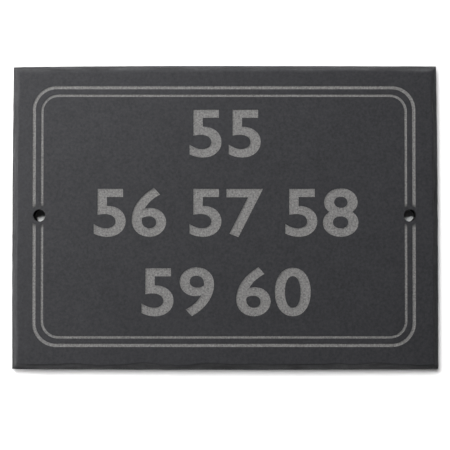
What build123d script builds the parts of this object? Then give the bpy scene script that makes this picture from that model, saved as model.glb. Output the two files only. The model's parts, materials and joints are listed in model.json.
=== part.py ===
from build123d import *
import os

# A slate house plaque, in millimetres: X to the right, Y into the wall, Z up.
# The origin lies on the wall face, midway between the two screw holes.

# Slab, dressed by hand, so that its edges are gently bowed and its top is a little narrower
slab_width = 210.0  # between the crowns of the two sides
slab_height = 150.0  # between the crowns of the top and bottom edges
thickness = 7.0
taper = 1.3  # how much narrower the top edge is than the bottom edge
side_bow = 0.35  # how far a side stands out between its corners
top_bow = 0.55
bottom_bow = 0.45
corner_radius = 0.6

# Bevel dressed along the front edge
bevel_width = 2.5  # across the face
bevel_depth = 1.5  # down the side

# Screw holes, drilled a little above and to the left of the slab's middle
hole_diameter = 6.0
hole_inset = 13.9  # from a side's crown to a hole's centre
holes_left = 0.25
holes_up = 1.0

# Double border engraved in the face, a little above and to the left of the slab's middle
border_inset = 11.65  # from an edge's crown to the middle of the outer line
border_pitch = 3.95  # from the middle of the outer line to the middle of the inner one
outer_line = 1.6
inner_line = 1.2
outer_radius = 11.0  # at the corners, in the middle of the line
inner_radius = 8.0
border_left = 0.55
border_up = 0.6
engraving_depth = 0.25
bare_ring = 1.65  # plain stone between a hole's rim and the ends of the lines

hole_spacing = slab_width - 2 * hole_inset
slab_place = Pos(holes_left, -holes_up)
border_place = slab_place * Pos(-border_left, border_up)
wall_face = Plane.XZ
front_face = wall_face.offset(thickness)


def slab_outline():
    """The slab from the front: four shallow arcs from corner to corner."""
    half_width = slab_width / 2 - side_bow
    foot = half_width + taper / 4
    head = half_width - taper / 4
    bottom = bottom_bow - slab_height / 2
    top = slab_height / 2 - top_bow
    corners = [(-foot, bottom), (foot, bottom), (head, top), (-head, top)]
    bows = [bottom_bow, side_bow, top_bow, side_bow]
    sides = [
        SagittaArc(start, end, -bow)
        for start, end, bow in zip(corners, corners[1:] + corners[:1], bows)
    ]
    return slab_place * make_face(sides)


def dressed_slab():
    """The slab with its front edge bevelled to a mitre at each corner, and the corners blunted."""
    outline = slab_outline()
    slab = extrude(wall_face * outline, thickness)
    front = slab.faces().sort_by(Axis.Y)[0]
    slab = chamfer(front.edges(), bevel_width, bevel_depth, reference=front)
    corner_tips = outline - fillet(outline.vertices(), corner_radius)
    return slab - extrude(wall_face * corner_tips, thickness)


def at_both_holes(sketch):
    """The same sketch on each of the two screw holes' centres."""
    return Pos(-hole_spacing / 2) * sketch + Pos(hole_spacing / 2) * sketch


def border_line(inset, line, radius):
    """One engraved line: a rounded rectangle that lies inset from the slab's edges."""
    width = slab_width - 2 * inset
    height = slab_height - 2 * inset
    outside = RectangleRounded(width + line, height + line, radius + line / 2)
    inside = RectangleRounded(width - line, height - line, radius - line / 2)
    return border_place * (outside - inside)


def engraved_border():
    """Both lines of the border, which stop short of each screw hole."""
    lines = border_line(border_inset, outer_line, outer_radius)
    lines += border_line(border_inset + border_pitch, inner_line, inner_radius)
    return lines - at_both_holes(Circle(hole_diameter / 2 + bare_ring))


plaque = dressed_slab()
plaque -= extrude(wall_face * at_both_holes(Circle(hole_diameter / 2)), thickness)
plaque -= extrude(front_face * engraved_border(), -engraving_depth)

os.makedirs("parts", exist_ok=True)
export_step(plaque, "parts/slate_plaque.step")
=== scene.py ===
import json
import math

import bmesh
import bpy
from mathutils import Matrix, Vector, noise


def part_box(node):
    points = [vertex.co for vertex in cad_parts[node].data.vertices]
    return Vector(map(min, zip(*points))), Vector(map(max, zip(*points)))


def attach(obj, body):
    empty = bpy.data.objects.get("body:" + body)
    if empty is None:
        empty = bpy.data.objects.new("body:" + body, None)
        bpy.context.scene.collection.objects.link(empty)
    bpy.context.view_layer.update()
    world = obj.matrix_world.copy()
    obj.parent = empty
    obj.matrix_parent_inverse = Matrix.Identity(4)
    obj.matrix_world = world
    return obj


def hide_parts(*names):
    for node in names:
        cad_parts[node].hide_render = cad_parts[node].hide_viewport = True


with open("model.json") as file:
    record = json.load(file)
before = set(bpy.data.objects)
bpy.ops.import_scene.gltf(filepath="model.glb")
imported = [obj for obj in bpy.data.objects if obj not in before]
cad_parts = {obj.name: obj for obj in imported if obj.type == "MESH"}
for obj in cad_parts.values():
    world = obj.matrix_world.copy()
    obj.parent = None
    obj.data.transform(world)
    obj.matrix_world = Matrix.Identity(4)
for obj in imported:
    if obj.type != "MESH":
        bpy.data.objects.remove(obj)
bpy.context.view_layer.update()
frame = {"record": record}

# A slate house plaque on a white wall, in metres: X to the right, Y into the wall, Z up.
MM = 0.001

# Slab, whose places across and up are given from -1 to 1
SLAB_WIDTH = 210 * MM
TAPER = 1.3 * MM
SIDE_BOW = 0.35 * MM
LEFT_LEAN = 0.13 * MM  # how much less the left side leans in than the taper gives
TOP_BOW = 0.42 * MM
TOP_LEAN = 0.22 * MM  # how much more the top edge drops at its left end, and less at its right
BOTTOM_BOW = 0.5 * MM
BOTTOM_LEAN = 0.06 * MM  # how much more the bottom edge rises at its right end
CORNER_BLUNT = 0.04 * MM
CELLS_ACROSS = 140
CELLS_UP = 100
ON_OUTLINE = 0.999  # a place beyond this lies on the outline
NEAR_CORNER = 0.92  # beyond this an edge starts to change over to the next one

# Bevel dressed along the front edge, which differs from side to side
BEVEL_WIDTH = {"left": 3.2 * MM, "right": 2.85 * MM, "top": 3.5 * MM, "bottom": 2.9 * MM}
BEVEL_SLOPE = {"left": 0.68, "right": 0.82, "top": 0.92, "bottom": 0.34}
FOOT_INSET = {"left": 0.14 * MM, "right": 0.02 * MM, "top": 0.04 * MM, "bottom": 0.1 * MM}
BEVEL_RINGS = 8
RING_CROWDING = 1.5  # above 1, the rings crowd towards the crest

# Crest, where the face turns down into the bevel
CREST_LIP = 0.15 * MM
CREST_SOFTNESS = {"left": 0.7, "right": 0.15, "top": 1.0, "bottom": 0.15}  # rounded share of the bevel
CREST_STEP = {"left": 0, "right": 0.2 * MM, "top": 0, "bottom": 0.2 * MM}  # depth broken off at the crest
STEP_RUN = 0.2  # share of the bevel that the step takes up
DRESSED_DEPTH = 0.35 * MM  # from here on the stone is fully dressed

# Side wall, from the bevel's foot to the back
SIDE_RINGS = 7
BACK_CHAMFER = 0.5 * MM
BACK_TURN = 8  # the higher, the closer to the back the side turns in

# Noise that all the unevenness is drawn from
NOISE_FALL = 1.0  # how fast its finer layers weaken
NOISE_STEP = 2.0  # how much finer each layer is than the last
NOISE_LAYERS = 3

# Unevenness of the dressed edge
BEVEL_WANDER = {"left": 0.15, "right": 0.25, "top": 0.15, "bottom": 0.45}  # as a share of its width
WANDER_GRAIN = 17 * MM
WANDER_SEED = 3.1
EDGE_STRAY = {"left": 0.06 * MM, "right": 0.10 * MM, "top": 0.06 * MM, "bottom": 0.10 * MM}
MEAN_STRAY = 0.5
LEAST_STRAY = 0.1
STRAY_GRAIN = 8 * MM
STRAY_SEED = 5.9
STRAY_RING_SEED = 0.6  # added from ring to ring

# Flakes struck off along the bevel
FLAKE_DEPTH = {"left": 0.10 * MM, "right": 0.18 * MM, "top": 0.08 * MM, "bottom": 0.16 * MM}
FLAKE_LENGTH = 13 * MM
FLAKE_WIDTH = 4 * MM
FLAKE_REACH = 0.6  # of one scoop, as a share of its length and width
SIDE_FLAKE_SEED = 1.3
LEVEL_FLAKE_SEED = 8.2

# Relief of the honed face: broad swells and finer ripples about its mean
MEAN_RELIEF = 0.5
FACE_RELIEF = 0.10 * MM
FACE_SEED = 1.7
SWELL_GRAIN = 38 * MM
SWELL_SHARE = 0.35
RIPPLE_LENGTH = 9 * MM
RIPPLE_WIDTH = 5 * MM
RIPPLE_SHARE = 0.15

# Relief of the back, which split in terraces with a rough grain
BACK_RELIEF = 0.45 * MM
BACK_TERRACES = 5
TERRACE_GRAIN = 55 * MM
TERRACE_SEED = 6.3
TERRACE_CONTRAST = 0.45
TERRACE_RISE = (0.35, 0.65)  # where the slope between two terraces starts and ends
TERRACE_SHARE = 0.85
ROUGH_GRAIN = 9 * MM
ROUGH_SEED = 2.4
ROUGH_SHARE = 0.15

# Engraving
ENGRAVING_DEPTH = 0.25 * MM
CUTTER_PROUD = 1.0 * MM
BORDER_INSET = 11.65 * MM
BORDER_PITCH = 3.95 * MM
OUTER_LINE = 1.6 * MM
INNER_LINE = 1.2 * MM
OUTER_RADIUS = 11 * MM
INNER_RADIUS = 8 * MM
CORNER_SEGMENTS = 24
BORDER_LEFT = 0.55 * MM
BORDER_UP = 0.6 * MM
BARE_RING = 1.65 * MM
LINE_FADE = (4.4 * MM, 6.5 * MM)  # from a hole's axis, where a line ends and where its tone is full
LINE_END = 0.2  # the share of its full tone that a line has at its end
HOLE_SEGMENTS = 48

# Figures, in three centred rows
FIGURE_ROWS = ["55", "56 57 58", "59 60"]
FIGURE_HEIGHT = 23.6 * MM
FIGURE_ADVANCE = 19.3 * MM
WORD_SPACE = 8.5 * MM
FIRST_BASELINE = 29.4 * MM
ROW_PITCH = 39 * MM
FIGURE_TOP = 0.709  # of the plain figure, in the font's units
FIGURE_WEIGHT = 0.018  # added round the plain figure, in the font's units
FIGURE_STRETCH = 1.14
FIGURE_FINENESS = 8

# Points closer than this are one, in a figure of unit size and in the plaque
FIGURE_MERGE = 1e-5
PLAQUE_MERGE = 1e-6
SHARP_ANGLE = math.radians(32)

# Tones of the stone, from its darkest grains to its palest, and their casts
FACE_TONE = (0.0262, 0.045)
FACE_CAST = (0.98, 0.99, 1.085)
PATCH_TONE = (0.95, 1.05)
CLOUD_TONE = (0.96, 1.04)
EDGE_TONE = (0.042, 0.062)
EDGE_CAST = (1.0, 1.0, 1.04)
LAYER_TONE = (0.58, 1.42)
CUT_TONE = (0.082, 0.293)
CUT_CAST = (1.015, 1.0, 0.985)
BACK_TONE = (0.040, 0.056)
BACK_CAST = (0.985, 0.995, 1.06)
# The bore's tone lies below the face's: painted shade in the screw holes
BORE_TONE_WITH_PAINTED_SHADE = (0.018, 0.026)
BORE_CAST = (0.99, 1.0, 1.03)

# Roughness of the stone, from its smoothest grains to its coarsest, and its gloss
FACE_ROUGHNESS = (0.42, 0.52)
EDGE_ROUGHNESS = (0.68, 0.85)
CUT_ROUGHNESS = (0.80, 0.95)
BACK_ROUGHNESS = (0.45, 0.62)
BORE_ROUGHNESS = (0.85, 0.95)
SLATE_GLOSS = 0.066
CUT_GLOSS = 0.1
BACK_GLOSS = 0.25
BORE_GLOSS = 0.02

# Depth of the stone's fine relief
FACE_GRAIN = 0.012 * MM
FACE_RIPPLE = 0.05 * MM
EDGE_GRAIN = 0.04 * MM
EDGE_SPLIT = 0.12 * MM
CUT_GRAIN = 0.05 * MM
BACK_RIPPLE = 0.4 * MM
BORE_GRAIN = 0.05 * MM

# Wall: white paint that takes the plaque's shadow, plus a painted glow (emission, no lamp) that is zero at
# the plaque's edge and grows to full white a little way out; near the plaque its ramp paints the short
# shape of the plaque's shadow, farther out it makes the backdrop evenly white
WHITE = (1, 1, 1, 1)
WALL_REACH = 3.0  # from its middle to each side
WALL_PAINT = (0.95, 0.95, 0.95, 1)
WALL_PAINTED_GLOW = 0.56
PAINTED_GLOW_ACROSS = (0.4 * MM, 4.8 * MM)  # from the slab's sides, where the glow starts and where it has grown
PAINTED_GLOW_UP = (0.28 * MM, 2.5 * MM)
GLOW_FAR = (0, 60 * MM)  # where it grows to full white
HOLE_COVER = 1.2  # of a hole's radius, within which the wall stops light from behind

# Strength of the surround's light before the wall and behind it, and where it turns from one to the other
LIGHT_BEFORE = 0.01
LIGHT_BEHIND = 0.8
LIGHT_TURN = (0.35, 0.55)

# Camera, square on, a little below the plaque's middle
VIEW_DISTANCE = 500 * MM
VIEW_FIELD = 221.07 * MM
VIEW_RIGHT = 0.2 * MM
VIEW_DOWN = 4.7 * MM
VIEW_PITCH = math.radians(0.8)

# Material slots of the plaque
SLATE, CUT, BACK, BORE = range(4)

# Sockets of a node that mixes two colours by share
MIX_SHARE, MIX_FIRST, MIX_SECOND = 0, 6, 7
MIX_COLOUR = 2

slab_low, slab_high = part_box("slate_plaque")
thickness = slab_high.y - slab_low.y
slab_height = slab_high.z - slab_low.z
slab_x = (slab_low.x + slab_high.x) / 2
slab_z = (slab_low.z + slab_high.z) / 2
mounts = {mount["name"]: mount for mount in frame["record"]["mounts"]}
hole_mounts = [mounts["screw_hole_left"], mounts["screw_hole_right"]]
hole_x = mounts["screw_hole_right"]["pos_m"][0]
hole_radius = mounts["screw_hole_right"]["dims"]["r_mm"] * MM


def unit_clamp(value):
    """The value, kept from 0 to 1."""
    return min(max(value, 0.0), 1.0)


def smooth_step(low, high, value):
    """0 below low, 1 above high, with a soft rise between."""
    share = unit_clamp((value - low) / (high - low))
    return share * share * (3 - 2 * share)


def unevenness(x, z, seed, grain):
    """Smooth noise from about -1 to 1, with features of about the size of grain."""
    return noise.fractal(Vector((x / grain, seed, z / grain)), NOISE_FALL, NOISE_STEP, NOISE_LAYERS)


def flake(along, across, seed):
    """How deep a struck flake bites, from 0 to 1: shallow scoops in a row along the edge."""
    distance = noise.voronoi(Vector((along / FLAKE_LENGTH, across / FLAKE_WIDTH, seed)))[0][0]
    return max(0.0, 1 - distance / FLAKE_REACH)


def in_slab(u, v, inset_x, inset_z):
    """The point (u, v), each from -1 to 1 over the slab, when the outline is set in by these amounts."""
    u *= 1 - 2 * inset_x / SLAB_WIDTH
    v *= 1 - 2 * inset_z / slab_height
    bow = TOP_BOW - TOP_LEAN * u if v > 0 else BOTTOM_BOW + BOTTOM_LEAN * u
    lean = TAPER / 4 - LEFT_LEAN if u < 0 else TAPER / 4
    x = u * (SLAB_WIDTH / 2 - SIDE_BOW * v * v - lean * v)
    z = v * (slab_height / 2 - bow * u * u)
    return slab_x + x, slab_z + z


def by_side(sizes, u, v):
    """A size that differs from side to side, at a point of the outline; two sides share a corner."""
    beside = sizes["right" if u > 0 else "left"]
    above = sizes["top" if v > 0 else "bottom"]
    own, other = (beside, above) if abs(u) > ON_OUTLINE else (above, beside)
    return own + (other - own) / 2 * smooth_step(NEAR_CORNER, 1, min(abs(u), abs(v)))


def edge_section(u, v, ring):
    """How far a ring lies within the outline and behind the face: a lip, the bevel, then the side."""
    width = by_side(BEVEL_WIDTH, u, v)
    if ring == 0:
        return width + CREST_LIP, 0
    share = min((ring - 1) / BEVEL_RINGS, 1) ** RING_CROWDING
    soft = by_side(CREST_SOFTNESS, u, v)
    fall = share - soft / 2 if share > soft else share * share / (2 * soft)
    run = width - by_side(FOOT_INSET, u, v)
    step = by_side(CREST_STEP, u, v) * smooth_step(0, STEP_RUN, share)
    depth = run * fall * by_side(BEVEL_SLOPE, u, v) + step
    down = (ring - 1 - BEVEL_RINGS) / SIDE_RINGS
    if down <= 0:
        return width - run * share, depth
    return BACK_CHAMFER * down**BACK_TURN, depth + (thickness - depth) * down


def flake_bite(u, v, x, z, ring):
    """How deep the flakes bite into the bevel at a point of a ring; none reach its crest or foot."""
    if abs(u) > ON_OUTLINE:
        scoop = flake(z, x, SIDE_FLAKE_SEED + u + 2 * v)
    else:
        scoop = flake(x, z, LEVEL_FLAKE_SEED + v)
    return by_side(FLAKE_DEPTH, u, v) * (math.sin(math.pi * (ring - 1) / BEVEL_RINGS) * scoop)


def dressed_point(u, v, ring):
    """Where a point of the slab lies after its edge has been dressed by hand."""
    inset_x, side_depth = edge_section(math.copysign(1, u), v, ring)
    inset_z, level_depth = edge_section(u, math.copysign(1, v), ring)
    x, z = in_slab(u, v, inset_x, inset_z)
    if max(abs(u), abs(v)) < ON_OUTLINE:
        return x, slab_low.y + level_depth, z

    on_side = abs(u) > ON_OUTLINE
    depth = side_depth if on_side else level_depth
    spread = 1 + by_side(BEVEL_WANDER, u, v) * unevenness(x, z, WANDER_SEED, WANDER_GRAIN)
    ring_noise = unevenness(x, z, STRAY_SEED + STRAY_RING_SEED * max(ring, 1), STRAY_GRAIN)
    stray = max(LEAST_STRAY, MEAN_STRAY + ring_noise) * by_side(EDGE_STRAY, u, v)
    blunt = CORNER_BLUNT if on_side and abs(v) > ON_OUTLINE else 0
    x, z = in_slab(u, v, inset_x * spread + stray + blunt, inset_z * spread + stray + blunt)
    if 0 < ring <= BEVEL_RINGS:
        depth += flake_bite(u, v, x, z, ring)
    return x, slab_low.y + depth, z


def dressed_slab():
    """The slab: two fine grids for its faces, joined by an edge of rings that follow the section."""
    bm = bmesh.new()
    rings = 1 + BEVEL_RINGS + SIDE_RINGS
    half_ring = 0.5
    for depth in (0, rings):
        bmesh.ops.create_grid(
            bm,
            x_segments=CELLS_ACROSS,
            y_segments=CELLS_UP,
            size=1,
            matrix=Matrix.Translation((0, 0, -depth)),
        )
    rims = [edge for edge in bm.edges if edge.is_boundary]
    bmesh.ops.bridge_loops(bm, edges=rims)
    across = [edge for edge in bm.edges if abs(edge.verts[0].co.z - edge.verts[1].co.z) > half_ring]
    bmesh.ops.subdivide_edges(bm, edges=across, cuts=rings - 1, use_grid_fill=True)

    for face in bm.faces:
        on_back = all(vert.co.z < half_ring - rings for vert in face.verts)
        face.material_index = BACK if on_back else SLATE
    for vert in bm.verts:
        vert.co = dressed_point(vert.co.x, vert.co.y, round(-vert.co.z))
    bmesh.ops.recalc_face_normals(bm, faces=bm.faces[:])
    return bm


def raised(bm, depth):
    """Gives a flat shape, drawn face up, its depth as a solid."""
    grown = bmesh.ops.extrude_face_region(bm, geom=bm.faces[:])["geom"]
    tops = [item for item in grown if isinstance(item, bmesh.types.BMVert)]
    bmesh.ops.translate(bm, vec=(0, 0, depth), verts=tops)
    bmesh.ops.recalc_face_normals(bm, faces=bm.faces[:])
    return bm


def facing_front(bm, x, z, depth):
    """Stands a shape, drawn face up, in the slab, with its foot at the given depth behind the face."""
    turn = Matrix.Rotation(math.radians(90), 4, "X")
    place = Matrix.Translation((x, slab_low.y + depth, z))
    bmesh.ops.transform(bm, matrix=place @ turn, verts=bm.verts[:])
    return bm


def add_to(whole, piece, slot):
    """Adds a piece's bmesh to another, with its faces in one material slot."""
    for face in piece.faces:
        face.material_index = slot
    mesh = bpy.data.meshes.new("piece")
    piece.to_mesh(mesh)
    piece.free()
    whole.from_mesh(mesh)
    bpy.data.meshes.remove(mesh)


def cut_away(whole, cutter):
    """The first shape with the second cut out of it, as a new bmesh."""
    shapes = []
    for bm in (whole, cutter):
        mesh = bpy.data.meshes.new("shape")
        for _ in (SLATE, CUT, BACK, BORE):
            mesh.materials.append(None)
        bm.to_mesh(mesh)
        bm.free()
        shape = bpy.data.objects.new("shape", mesh)
        bpy.context.scene.collection.objects.link(shape)
        shapes.append(shape)
    cut = shapes[0].modifiers.new("cut", "BOOLEAN")
    cut.operation = "DIFFERENCE"
    cut.solver = "EXACT"
    cut.use_self = True
    cut.object = shapes[1]
    bpy.context.view_layer.update()
    finished = shapes[0].evaluated_get(bpy.context.evaluated_depsgraph_get())
    result = bpy.data.meshes.new_from_object(finished)
    bm = bmesh.new()
    bm.from_mesh(result)
    for shape in shapes:
        mesh = shape.data
        bpy.data.objects.remove(shape)
        bpy.data.meshes.remove(mesh)
    bpy.data.meshes.remove(result)
    return bm


def add_round_bars(cutters, margin, slot):
    """Adds a round bar through each screw hole's place, wider than the hole by margin."""
    for mount in hole_mounts:
        x, _, z = mount["pos_m"]
        radius = mount["dims"]["r_mm"] * MM + margin
        bar = bmesh.new()
        bmesh.ops.create_circle(bar, cap_ends=True, segments=HOLE_SEGMENTS, radius=radius)
        raised(bar, thickness + 2 * CUTTER_PROUD)
        add_to(cutters, facing_front(bar, x, z, thickness + CUTTER_PROUD), slot)


def rounded_line(width, height, radius, line):
    """A closed engraved line, drawn flat: the ring between two rounded rectangles."""
    bm = bmesh.new()
    bmesh.ops.create_grid(bm, x_segments=1, y_segments=1, size=0.5)
    bmesh.ops.scale(bm, vec=(width + line, height + line, 1), verts=bm.verts[:])
    bmesh.ops.bevel(
        bm,
        geom=bm.verts[:],
        offset=radius + line / 2,
        offset_type="OFFSET",
        segments=CORNER_SEGMENTS,
        profile=0.5,
        affect="VERTICES",
        material=-1,
    )
    middle = bm.faces[:]
    bmesh.ops.inset_region(bm, faces=middle, thickness=line, use_boundary=True, use_even_offset=True)
    bmesh.ops.delete(bm, geom=middle, context="FACES")
    return bm


def border_cutter():
    """Both lines of the border, broken off round each screw hole."""
    x = slab_x - BORDER_LEFT
    z = slab_z + BORDER_UP
    lines = bmesh.new()
    for inset, radius, line in [
        (BORDER_INSET, OUTER_RADIUS, OUTER_LINE),
        (BORDER_INSET + BORDER_PITCH, INNER_RADIUS, INNER_LINE),
    ]:
        ring = rounded_line(SLAB_WIDTH - 2 * inset, slab_height - 2 * inset, radius, line)
        raised(ring, ENGRAVING_DEPTH + CUTTER_PROUD)
        add_to(lines, facing_front(ring, x, z, ENGRAVING_DEPTH), CUT)
    bars = bmesh.new()
    add_round_bars(bars, BARE_RING, CUT)
    return cut_away(lines, bars)


def reach(bm, axis):
    """How far a shape reaches along an axis, from its lowest point to its highest."""
    places = [vert.co[axis] for vert in bm.verts]
    return min(places), max(places)


def figure_solid(figure):
    """One figure, emboldened, as a centred solid of unit depth, drawn face up; a 9 is a turned 6."""
    half_depth = 0.5
    text = bpy.data.curves.new("figure", "FONT")
    text.body = "6" if figure == "9" else figure
    text.offset = FIGURE_WEIGHT
    text.extrude = half_depth
    text.resolution_u = FIGURE_FINENESS
    drawn = bpy.data.objects.new("figure", text)
    mesh = bpy.data.meshes.new_from_object(drawn)
    bm = bmesh.new()
    bm.from_mesh(mesh)
    bpy.data.objects.remove(drawn)
    bpy.data.curves.remove(text)
    bpy.data.meshes.remove(mesh)
    bmesh.ops.remove_doubles(bm, verts=bm.verts[:], dist=FIGURE_MERGE)
    left, right = reach(bm, 0)
    low, high = reach(bm, 1)
    bmesh.ops.translate(bm, vec=(-(left + right) / 2, 0, half_depth), verts=bm.verts[:])
    if figure == "9":
        turn = Matrix.Rotation(math.pi, 4, "Z")
        about = Matrix.Translation((0, (low + high) / 2, 0))
        bmesh.ops.transform(bm, matrix=about @ turn @ about.inverted(), verts=bm.verts[:])
    return bm


def add_figures(cutters):
    """Adds every figure of the three rows, set in the face."""
    size = FIGURE_HEIGHT / (FIGURE_TOP + FIGURE_WEIGHT)
    tall = ENGRAVING_DEPTH + CUTTER_PROUD
    for row, text in enumerate(FIGURE_ROWS):
        spaces = text.count(" ")
        length = FIGURE_ADVANCE * (len(text) - spaces) + WORD_SPACE * spaces
        x = slab_x - length / 2
        z = FIRST_BASELINE - ROW_PITCH * row
        for figure in text:
            if figure == " ":
                x += WORD_SPACE
                continue
            bm = figure_solid(figure)
            bmesh.ops.scale(bm, vec=(size * FIGURE_STRETCH, size, tall), verts=bm.verts[:])
            add_to(cutters, facing_front(bm, x + FIGURE_ADVANCE / 2, z, ENGRAVING_DEPTH), CUT)
            x += FIGURE_ADVANCE


def face_relief(x, z):
    """How far the honed face lies below its highest point, from 0 to 1."""
    swell = unevenness(x, z, FACE_SEED, SWELL_GRAIN)
    ripple = noise.noise(Vector((x / RIPPLE_LENGTH, FACE_SEED, z / RIPPLE_WIDTH)))
    return unit_clamp(MEAN_RELIEF + SWELL_SHARE * swell + RIPPLE_SHARE * ripple)


def back_relief(x, z):
    """The same for the back."""
    broad = unevenness(x, z, TERRACE_SEED, TERRACE_GRAIN)
    height = unit_clamp(MEAN_RELIEF + TERRACE_CONTRAST * broad) * BACK_TERRACES
    step = math.floor(height)
    terrace = (step + smooth_step(*TERRACE_RISE, height - step)) / BACK_TERRACES
    rough = MEAN_RELIEF + unevenness(x, z, ROUGH_SEED, ROUGH_GRAIN)
    return unit_clamp(TERRACE_SHARE * terrace + ROUGH_SHARE * rough)


def relieve(bm):
    """Sinks both faces by the uneven relief of the stone, and notes how far each point was dressed."""
    dressed = bm.verts.layers.float.new("dressed")
    for vert in bm.verts:
        x, y, z = vert.co
        depth = y - slab_low.y
        vert[dressed] = smooth_step(0, DRESSED_DEPTH, depth)
        back = depth / thickness
        in_back_third = max(0.0, 3 * back - 2)
        front_drop = FACE_RELIEF * face_relief(x, z) * (1 - back)
        back_drop = BACK_RELIEF * back_relief(x, z) * in_back_third
        vert.co.y += front_drop - back_drop


def plaque():
    """The finished plaque: the dressed slab with its border, figures and screw holes cut out."""
    cutters = border_cutter()
    add_figures(cutters)
    add_round_bars(cutters, 0, BORE)
    bm = cut_away(dressed_slab(), cutters)
    bmesh.ops.remove_doubles(bm, verts=bm.verts[:], dist=PLAQUE_MERGE)
    bmesh.ops.triangulate(bm, faces=[face for face in bm.faces if len(face.verts) > 4])
    relieve(bm)
    mesh = bpy.data.meshes.new("slate_plaque_dressed")
    bm.to_mesh(mesh)
    bm.free()
    mesh.shade_smooth()
    mesh.set_sharp_from_angle(angle=SHARP_ANGLE)
    for material in (slate(), engraved_stone(), split_back(), drilled_stone()):
        mesh.materials.append(material)
    ob = bpy.data.objects.new("slate_plaque_dressed", mesh)
    bpy.context.scene.collection.objects.link(ob)
    return ob


class Shading:
    """The nodes of a material or of the surround, with short calls for the ones in use here."""

    def __init__(self, owner):
        owner.use_nodes = True
        self.tree = owner.node_tree

    def node(self, kind, **inputs):
        """A new node with its inputs fed or set; an underscore in a name stands for a space."""
        made = self.tree.nodes.new("ShaderNode" + kind)
        for name, value in inputs.items():
            self.feed(made.inputs[name.replace("_", " ")], value)
        return made

    def feed(self, socket, value):
        """Joins a socket to another, or sets it to a value."""
        if isinstance(value, bpy.types.NodeSocket):
            self.tree.links.new(value, socket)
        else:
            socket.default_value = value

    def math(self, operation, first, second=0, clamp=False):
        """The outcome of a sum with one value or two."""
        made = self.tree.nodes.new("ShaderNodeMath")
        made.operation = operation
        made.use_clamp = clamp
        self.feed(made.inputs[0], first)
        self.feed(made.inputs[1], second)
        return made.outputs[0]

    def total(self, first, second):
        """Two values added."""
        return self.math("ADD", first, second)

    def product(self, first, second):
        """Two values multiplied."""
        return self.math("MULTIPLY", first, second)

    def either(self, *flags):
        """1 where any of the flags is 1."""
        found = flags[0]
        for flag in flags[1:]:
            found = self.math("MAXIMUM", found, flag)
        return found

    def place(self):
        """The X, Y and Z of a point of the piece."""
        coords = self.node("TexCoord").outputs["Object"]
        return self.node("SeparateXYZ", Vector=coords).outputs

    def noise(self, grain, detail=4.0, roughness=0.6, stretch=(1, 1, 1)):
        """Noise from 0 to 1 on the piece's own coordinates, with features of about the size of grain."""
        coords = self.node("TexCoord").outputs["Object"]
        placed = self.node("Mapping", Vector=coords, Scale=stretch).outputs[0]
        made = self.node("TexNoise", Vector=placed, Scale=1 / grain, Detail=detail, Roughness=roughness)
        return made.outputs["Fac"]

    def spread(self, value, low, high, start=0.3, end=0.7):
        """A value that goes from low to high as the given one goes from start to end."""
        made = self.node("MapRange", Value=value, From_Min=start, From_Max=end, To_Min=low, To_Max=high)
        return made.outputs["Result"]

    def mixed(self, first, second, share):
        """A value between two, by share."""
        return self.node("Mix", Factor=share, A=first, B=second).outputs["Result"]

    def mixed_colour(self, first, second, share, blend="MIX"):
        """A colour between two, by share, or two colours blended in another way."""
        made = self.tree.nodes.new("ShaderNodeMix")
        made.data_type = "RGBA"
        made.blend_type = blend
        self.feed(made.inputs[MIX_SHARE], share)
        self.feed(made.inputs[MIX_FIRST], first)
        self.feed(made.inputs[MIX_SECOND], second)
        return made.outputs[MIX_COLOUR]

    def tint(self, value, cast):
        """A grey value with a colour cast."""
        return self.mixed_colour(value, (*cast, 1), 1.0, blend="MULTIPLY")

    def bump(self, height, depth=1.0):
        """Fine relief from a height, which is measured in depths."""
        return self.node("Bump", Height=height, Distance=depth, Strength=1.0).outputs["Normal"]

    def mixed_shader(self, first, second, share):
        """A surface between two, by share."""
        made = self.node("MixShader", Fac=share)
        self.feed(made.inputs[1], first.outputs[0])
        self.feed(made.inputs[2], second.outputs[0])
        return made


def from_hole(shading):
    """How far a point lies from the axis of the nearer screw hole."""
    place = shading.place()
    aside = shading.math("SUBTRACT", shading.math("ABSOLUTE", place["X"]), hole_x)
    square = shading.total(shading.product(aside, aside), shading.product(place["Z"], place["Z"]))
    return shading.math("SQRT", square)


def stone_surface(stone, colour, roughness, normal, gloss):
    """Joins a stone's colour, roughness, fine relief and gloss to its shader."""
    shader = stone.tree.nodes["Principled BSDF"]
    stone.feed(shader.inputs["Base Color"], colour)
    stone.feed(shader.inputs["Roughness"], roughness)
    stone.feed(shader.inputs["Normal"], normal)
    stone.feed(shader.inputs["Specular IOR Level"], gloss)


def slate_colour(stone, dressed):
    """Near black and faintly blue on the face, with patches and clouds; paler and layered on the edge."""
    mottle = stone.noise(grain=1.3 * MM, detail=5, roughness=0.7)
    patches = stone.noise(grain=9 * MM, detail=3)
    cloud = stone.noise(grain=40 * MM, detail=3)
    broad = stone.product(stone.spread(patches, *PATCH_TONE), stone.spread(cloud, *CLOUD_TONE))
    face_tone = stone.product(stone.spread(mottle, *FACE_TONE), broad)
    layers = stone.noise(grain=16 * MM, detail=6, stretch=(1, 22, 1))
    edge_mottle = stone.noise(grain=1.8 * MM, detail=6, roughness=0.7)
    edge_tone = stone.product(stone.spread(edge_mottle, *EDGE_TONE), stone.spread(layers, *LAYER_TONE))
    face_colour = stone.tint(face_tone, FACE_CAST)
    edge_colour = stone.tint(edge_tone, EDGE_CAST)
    return stone.mixed_colour(face_colour, edge_colour, dressed)


def slate_roughness(stone, dressed):
    """Honed on the face and coarse on the edge."""
    face = stone.spread(stone.noise(grain=1.6 * MM), *FACE_ROUGHNESS)
    edge = stone.spread(stone.noise(grain=1.4 * MM), *EDGE_ROUGHNESS)
    return stone.mixed(face, edge, dressed)


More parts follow.
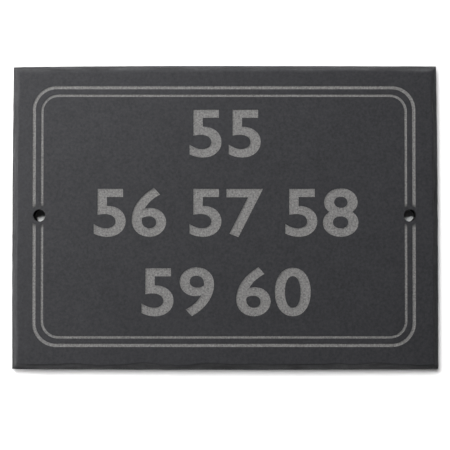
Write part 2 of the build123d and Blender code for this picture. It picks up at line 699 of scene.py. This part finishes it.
def slate_relief(stone, dressed):
    """Grain and long ripples on the face, and coarser grain with split layers on the edge."""
    grain = stone.noise(grain=0.7 * MM, detail=5, roughness=0.7)
    ripple = stone.noise(grain=3.4 * MM, detail=5, stretch=(1, 1, 1.6))
    face = stone.total(stone.product(grain, FACE_GRAIN), stone.product(ripple, FACE_RIPPLE))
    split = stone.noise(grain=14 * MM, detail=6, stretch=(1, 20, 1))
    edge = stone.total(stone.product(grain, EDGE_GRAIN), stone.product(split, EDGE_SPLIT))
    return stone.bump(stone.mixed(face, edge, dressed))


def slate():
    """Honed slate, which turns paler and coarser where the edge is dressed."""
    material = bpy.data.materials.new("slate")
    stone = Shading(material)
    noted = stone.node("Attribute")
    noted.attribute_name = "dressed"
    dressed = noted.outputs["Fac"]
    colour = slate_colour(stone, dressed)
    roughness = slate_roughness(stone, dressed)
    stone_surface(stone, colour, roughness, slate_relief(stone, dressed), SLATE_GLOSS)
    return material


def engraved_stone():
    """Freshly cut stone: pale, dry and finely speckled, which fades by the screw holes."""
    material = bpy.data.materials.new("engraved_stone")
    stone = Shading(material)
    speckle = stone.noise(grain=0.85 * MM, detail=4, roughness=0.75)
    fade = stone.spread(from_hole(stone), LINE_END, 1, *LINE_FADE)
    colour = stone.tint(stone.product(stone.spread(speckle, *CUT_TONE), fade), CUT_CAST)
    roughness = stone.spread(stone.noise(grain=1.1 * MM), *CUT_ROUGHNESS)
    normal = stone.bump(stone.noise(grain=0.7 * MM, detail=5, roughness=0.75), CUT_GRAIN)
    stone_surface(stone, colour, roughness, normal, CUT_GLOSS)
    return material


def split_back():
    """The back, left as it split: duller than the face and coarser."""
    material = bpy.data.materials.new("split_back")
    stone = Shading(material)
    mottle = stone.noise(grain=4.2 * MM, detail=7, roughness=0.65)
    colour = stone.tint(stone.spread(mottle, *BACK_TONE), BACK_CAST)
    roughness = stone.spread(stone.noise(grain=2 * MM), *BACK_ROUGHNESS)
    normal = stone.bump(stone.noise(grain=7.5 * MM, detail=6, stretch=(1, 1, 1.8)), BACK_RIPPLE)
    stone_surface(stone, colour, roughness, normal, BACK_GLOSS)
    return material


def drilled_stone():
    """The bore of a screw hole: rough, with no shine, and darker than the face, which paints shade into
    the holes.
    """
    material = bpy.data.materials.new("drilled_stone")
    stone = Shading(material)
    colour = stone.tint(stone.spread(stone.noise(grain=1.2 * MM), *BORE_TONE_WITH_PAINTED_SHADE), BORE_CAST)
    roughness = stone.spread(stone.noise(grain=0.9 * MM), *BORE_ROUGHNESS)
    normal = stone.bump(stone.noise(grain=1.0 * MM, stretch=(1, 6, 1)), BORE_GRAIN)
    stone_surface(stone, colour, roughness, normal, BORE_GLOSS)
    return material


def wall_sheet():
    """The wall's face: a flat square that the plaque's back lies on."""
    bm = bmesh.new()
    bmesh.ops.create_grid(bm, x_segments=1, y_segments=1, size=WALL_REACH)
    facing_front(bm, 0, 0, thickness)
    mesh = bpy.data.meshes.new("white_wall")
    bm.to_mesh(mesh)
    bm.free()
    wall = bpy.data.objects.new("white_wall", mesh)
    bpy.context.scene.collection.objects.link(wall)
    return wall


def wall_painted_glow(shading):
    """The strength of the wall's painted glow, by how far a point lies beyond the plaque: zero at the
    plaque's edge, so that its ramp paints the short shape of the plaque's shadow, then full white farther
    out.
    """
    place = shading.place()
    painted_glows = []
    for axis, middle, size, growth in (
        ("X", slab_x, SLAB_WIDTH, PAINTED_GLOW_ACROSS),
        ("Z", slab_z, slab_height, PAINTED_GLOW_UP),
    ):
        off = shading.math("ABSOLUTE", shading.math("SUBTRACT", place[axis], middle))
        clear = shading.math("SUBTRACT", off, size / 2)
        painted_glows.append(shading.spread(clear, 0, WALL_PAINTED_GLOW, *growth))
        painted_glows.append(shading.spread(clear, 0, 1, *GLOW_FAR))
    return shading.either(*painted_glows)


def wall_shows(shading):
    """1 where the wall is there: to the eye, in gloss and by the screw holes, and from the front alone."""
    path = shading.node("LightPath").outputs
    seen = shading.either(path["Is Camera Ray"], path["Is Glossy Ray"], path["Is Transmission Ray"])
    by_hole = shading.math("LESS_THAN", from_hole(shading), HOLE_COVER * hole_radius)
    behind = shading.node("NewGeometry").outputs["Backfacing"]
    return shading.math("SUBTRACT", shading.either(seen, by_hole), behind, clamp=True)


def white_paint():
    """The wall's white paint, which takes the plaque's shadow from the lamps, plus a painted glow round
    the plaque whose ramp paints that shadow's short shape.
    """
    material = bpy.data.materials.new("white_wall")
    shading = Shading(material)
    paint = shading.node("BsdfDiffuse", Color=WALL_PAINT)
    # painted glow: emission on the wall, not a lamp, whose ramp paints the short shape of the plaque's
    # shadow
    painted_glow = shading.node("Emission", Strength=wall_painted_glow(shading))
    paint_and_painted_glow = shading.node("AddShader")
    shading.feed(paint_and_painted_glow.inputs[0], paint.outputs[0])
    shading.feed(paint_and_painted_glow.inputs[1], painted_glow.outputs[0])
    clear = shading.node("BsdfTransparent")
    surface = shading.mixed_shader(clear, paint_and_painted_glow, wall_shows(shading))
    shading.feed(shading.tree.nodes["Material Output"].inputs["Surface"], surface.outputs[0])
    return material


def white_wall():
    """The white wall behind the plaque, which shows from the front alone."""
    wall = wall_sheet()
    wall.data.materials.append(white_paint())


def softbox(name, across, up, distance, width, height, power, front=-1, matte=True):
    """A studio light that faces the plaque, placed by its slopes across and up from straight out."""
    lamp = bpy.data.lights.new(name, "AREA")
    lamp.shape = "RECTANGLE"
    lamp.size = width
    lamp.size_y = height
    lamp.energy = power
    ob = bpy.data.objects.new(name, lamp)
    away = Vector((across, front, up)).normalized()
    ob.location = away * distance
    ob.rotation_euler = (-away).to_track_quat("-Z", "Y").to_euler()
    ob.visible_diffuse = matte
    bpy.context.scene.collection.objects.link(ob)


def studio():
    """A key light above, glancing light on two edges, a card for the gloss alone, and a light behind."""
    softbox("key_light", across=-0.2, up=0.61, distance=1.0, width=0.43, height=0.35, power=9.05)
    softbox("left_light", across=-3.2, up=0.05, distance=0.7, width=0.4, height=0.4, power=4.1)
    softbox("top_light", across=-1.2, up=5.0, distance=1.0, width=0.6, height=0.4, power=7.8)
    softbox("left_card", across=-0.95, up=0.2, distance=1.2, width=0.6, height=0.6, power=36, matte=False)
    softbox("back_light", across=1.6, up=1.0, distance=1.2, width=0.5, height=0.5, power=10.7, front=1)


def surround():
    """White where the camera looks past the wall, soft light behind it and faint light before it."""
    world = bpy.data.worlds.new("surround")
    bpy.context.scene.world = world
    shading = Shading(world)
    direction = shading.node("TexCoord").outputs["Generated"]
    back = shading.node("SeparateXYZ", Vector=direction).outputs["Y"]
    soft = shading.tree.nodes["Background"]
    shading.feed(soft.inputs["Color"], WHITE)
    shading.feed(soft.inputs["Strength"], shading.spread(back, LIGHT_BEFORE, LIGHT_BEHIND, *LIGHT_TURN))
    white = shading.node("Background", Color=WHITE, Strength=1.0)
    path = shading.node("LightPath").outputs
    in_gloss = shading.either(path["Is Glossy Ray"], path["Is Transmission Ray"])
    mirrored = shading.product(in_gloss, shading.math("GREATER_THAN", back, 0))
    surface = shading.mixed_shader(soft, white, shading.either(path["Is Camera Ray"], mirrored))
    shading.feed(shading.tree.nodes["World Output"].inputs["Surface"], surface.outputs[0])


def viewpoint():
    """The camera: square on, from half a metre, a little below the middle and looking slightly up."""
    aim = Vector((VIEW_RIGHT, slab_low.y, -VIEW_DOWN))
    data = bpy.data.cameras.new("camera")
    data.angle = 2 * math.atan(VIEW_FIELD / 2 / VIEW_DISTANCE)
    camera = bpy.data.objects.new("camera", data)
    camera.location = aim - VIEW_DISTANCE * Vector((0, math.cos(VIEW_PITCH), math.sin(VIEW_PITCH)))
    camera.rotation_euler = (math.radians(90) + VIEW_PITCH, 0, 0)
    bpy.context.scene.collection.objects.link(camera)
    bpy.context.scene.camera = camera


bpy.context.scene.view_settings.view_transform = "Standard"
slate_plaque = plaque()
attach(slate_plaque, "root")
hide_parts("slate_plaque")
white_wall()
studio()
surround()
viewpoint()
